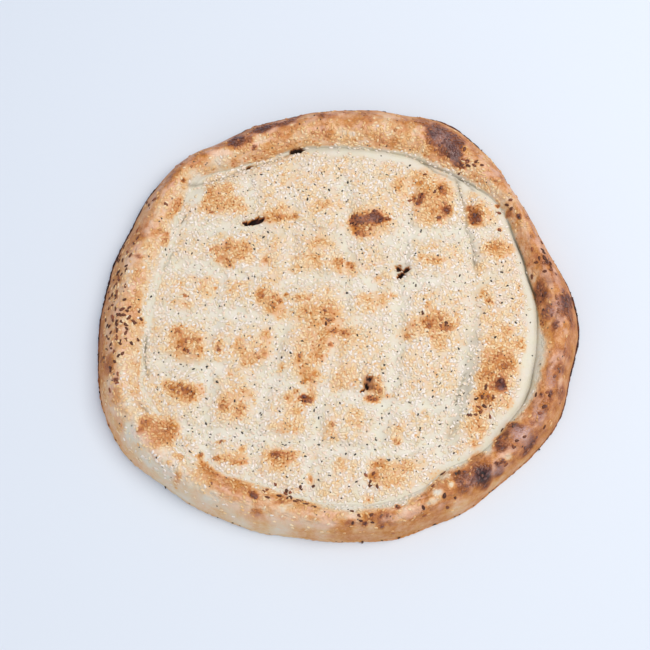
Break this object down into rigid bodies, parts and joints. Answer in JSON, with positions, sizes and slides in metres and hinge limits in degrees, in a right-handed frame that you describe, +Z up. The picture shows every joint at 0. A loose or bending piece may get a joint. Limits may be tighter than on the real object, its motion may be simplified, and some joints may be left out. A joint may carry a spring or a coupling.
{
  "type": "pide",
  "caption": "Round leavened flatbread with a raised browned rim and a finger-pressed field strewn with sesame and nigella seeds.",
  "frame": {"origin": "middle of the flat underside: the bottom centre of the bounding box", "axes": "+Z up out of the underside, +X along the bread's greatest width, +Y across it"},
  "size_m": [0.3306, 0.3082, 0.0296],
  "materials": {
    "crust": "baked wheat crust, satin where the rim was washed and matt in the field",
    "sesame": "satin, hulled seed",
    "toasted_sesame": "satin, toasted seed",
    "nigella": "matt, black seed",
    "bran": "matt, scorched flakes"
  },
  "bodies": {
    "root": {"pide": "crust"}
  },
  "joints": []
}
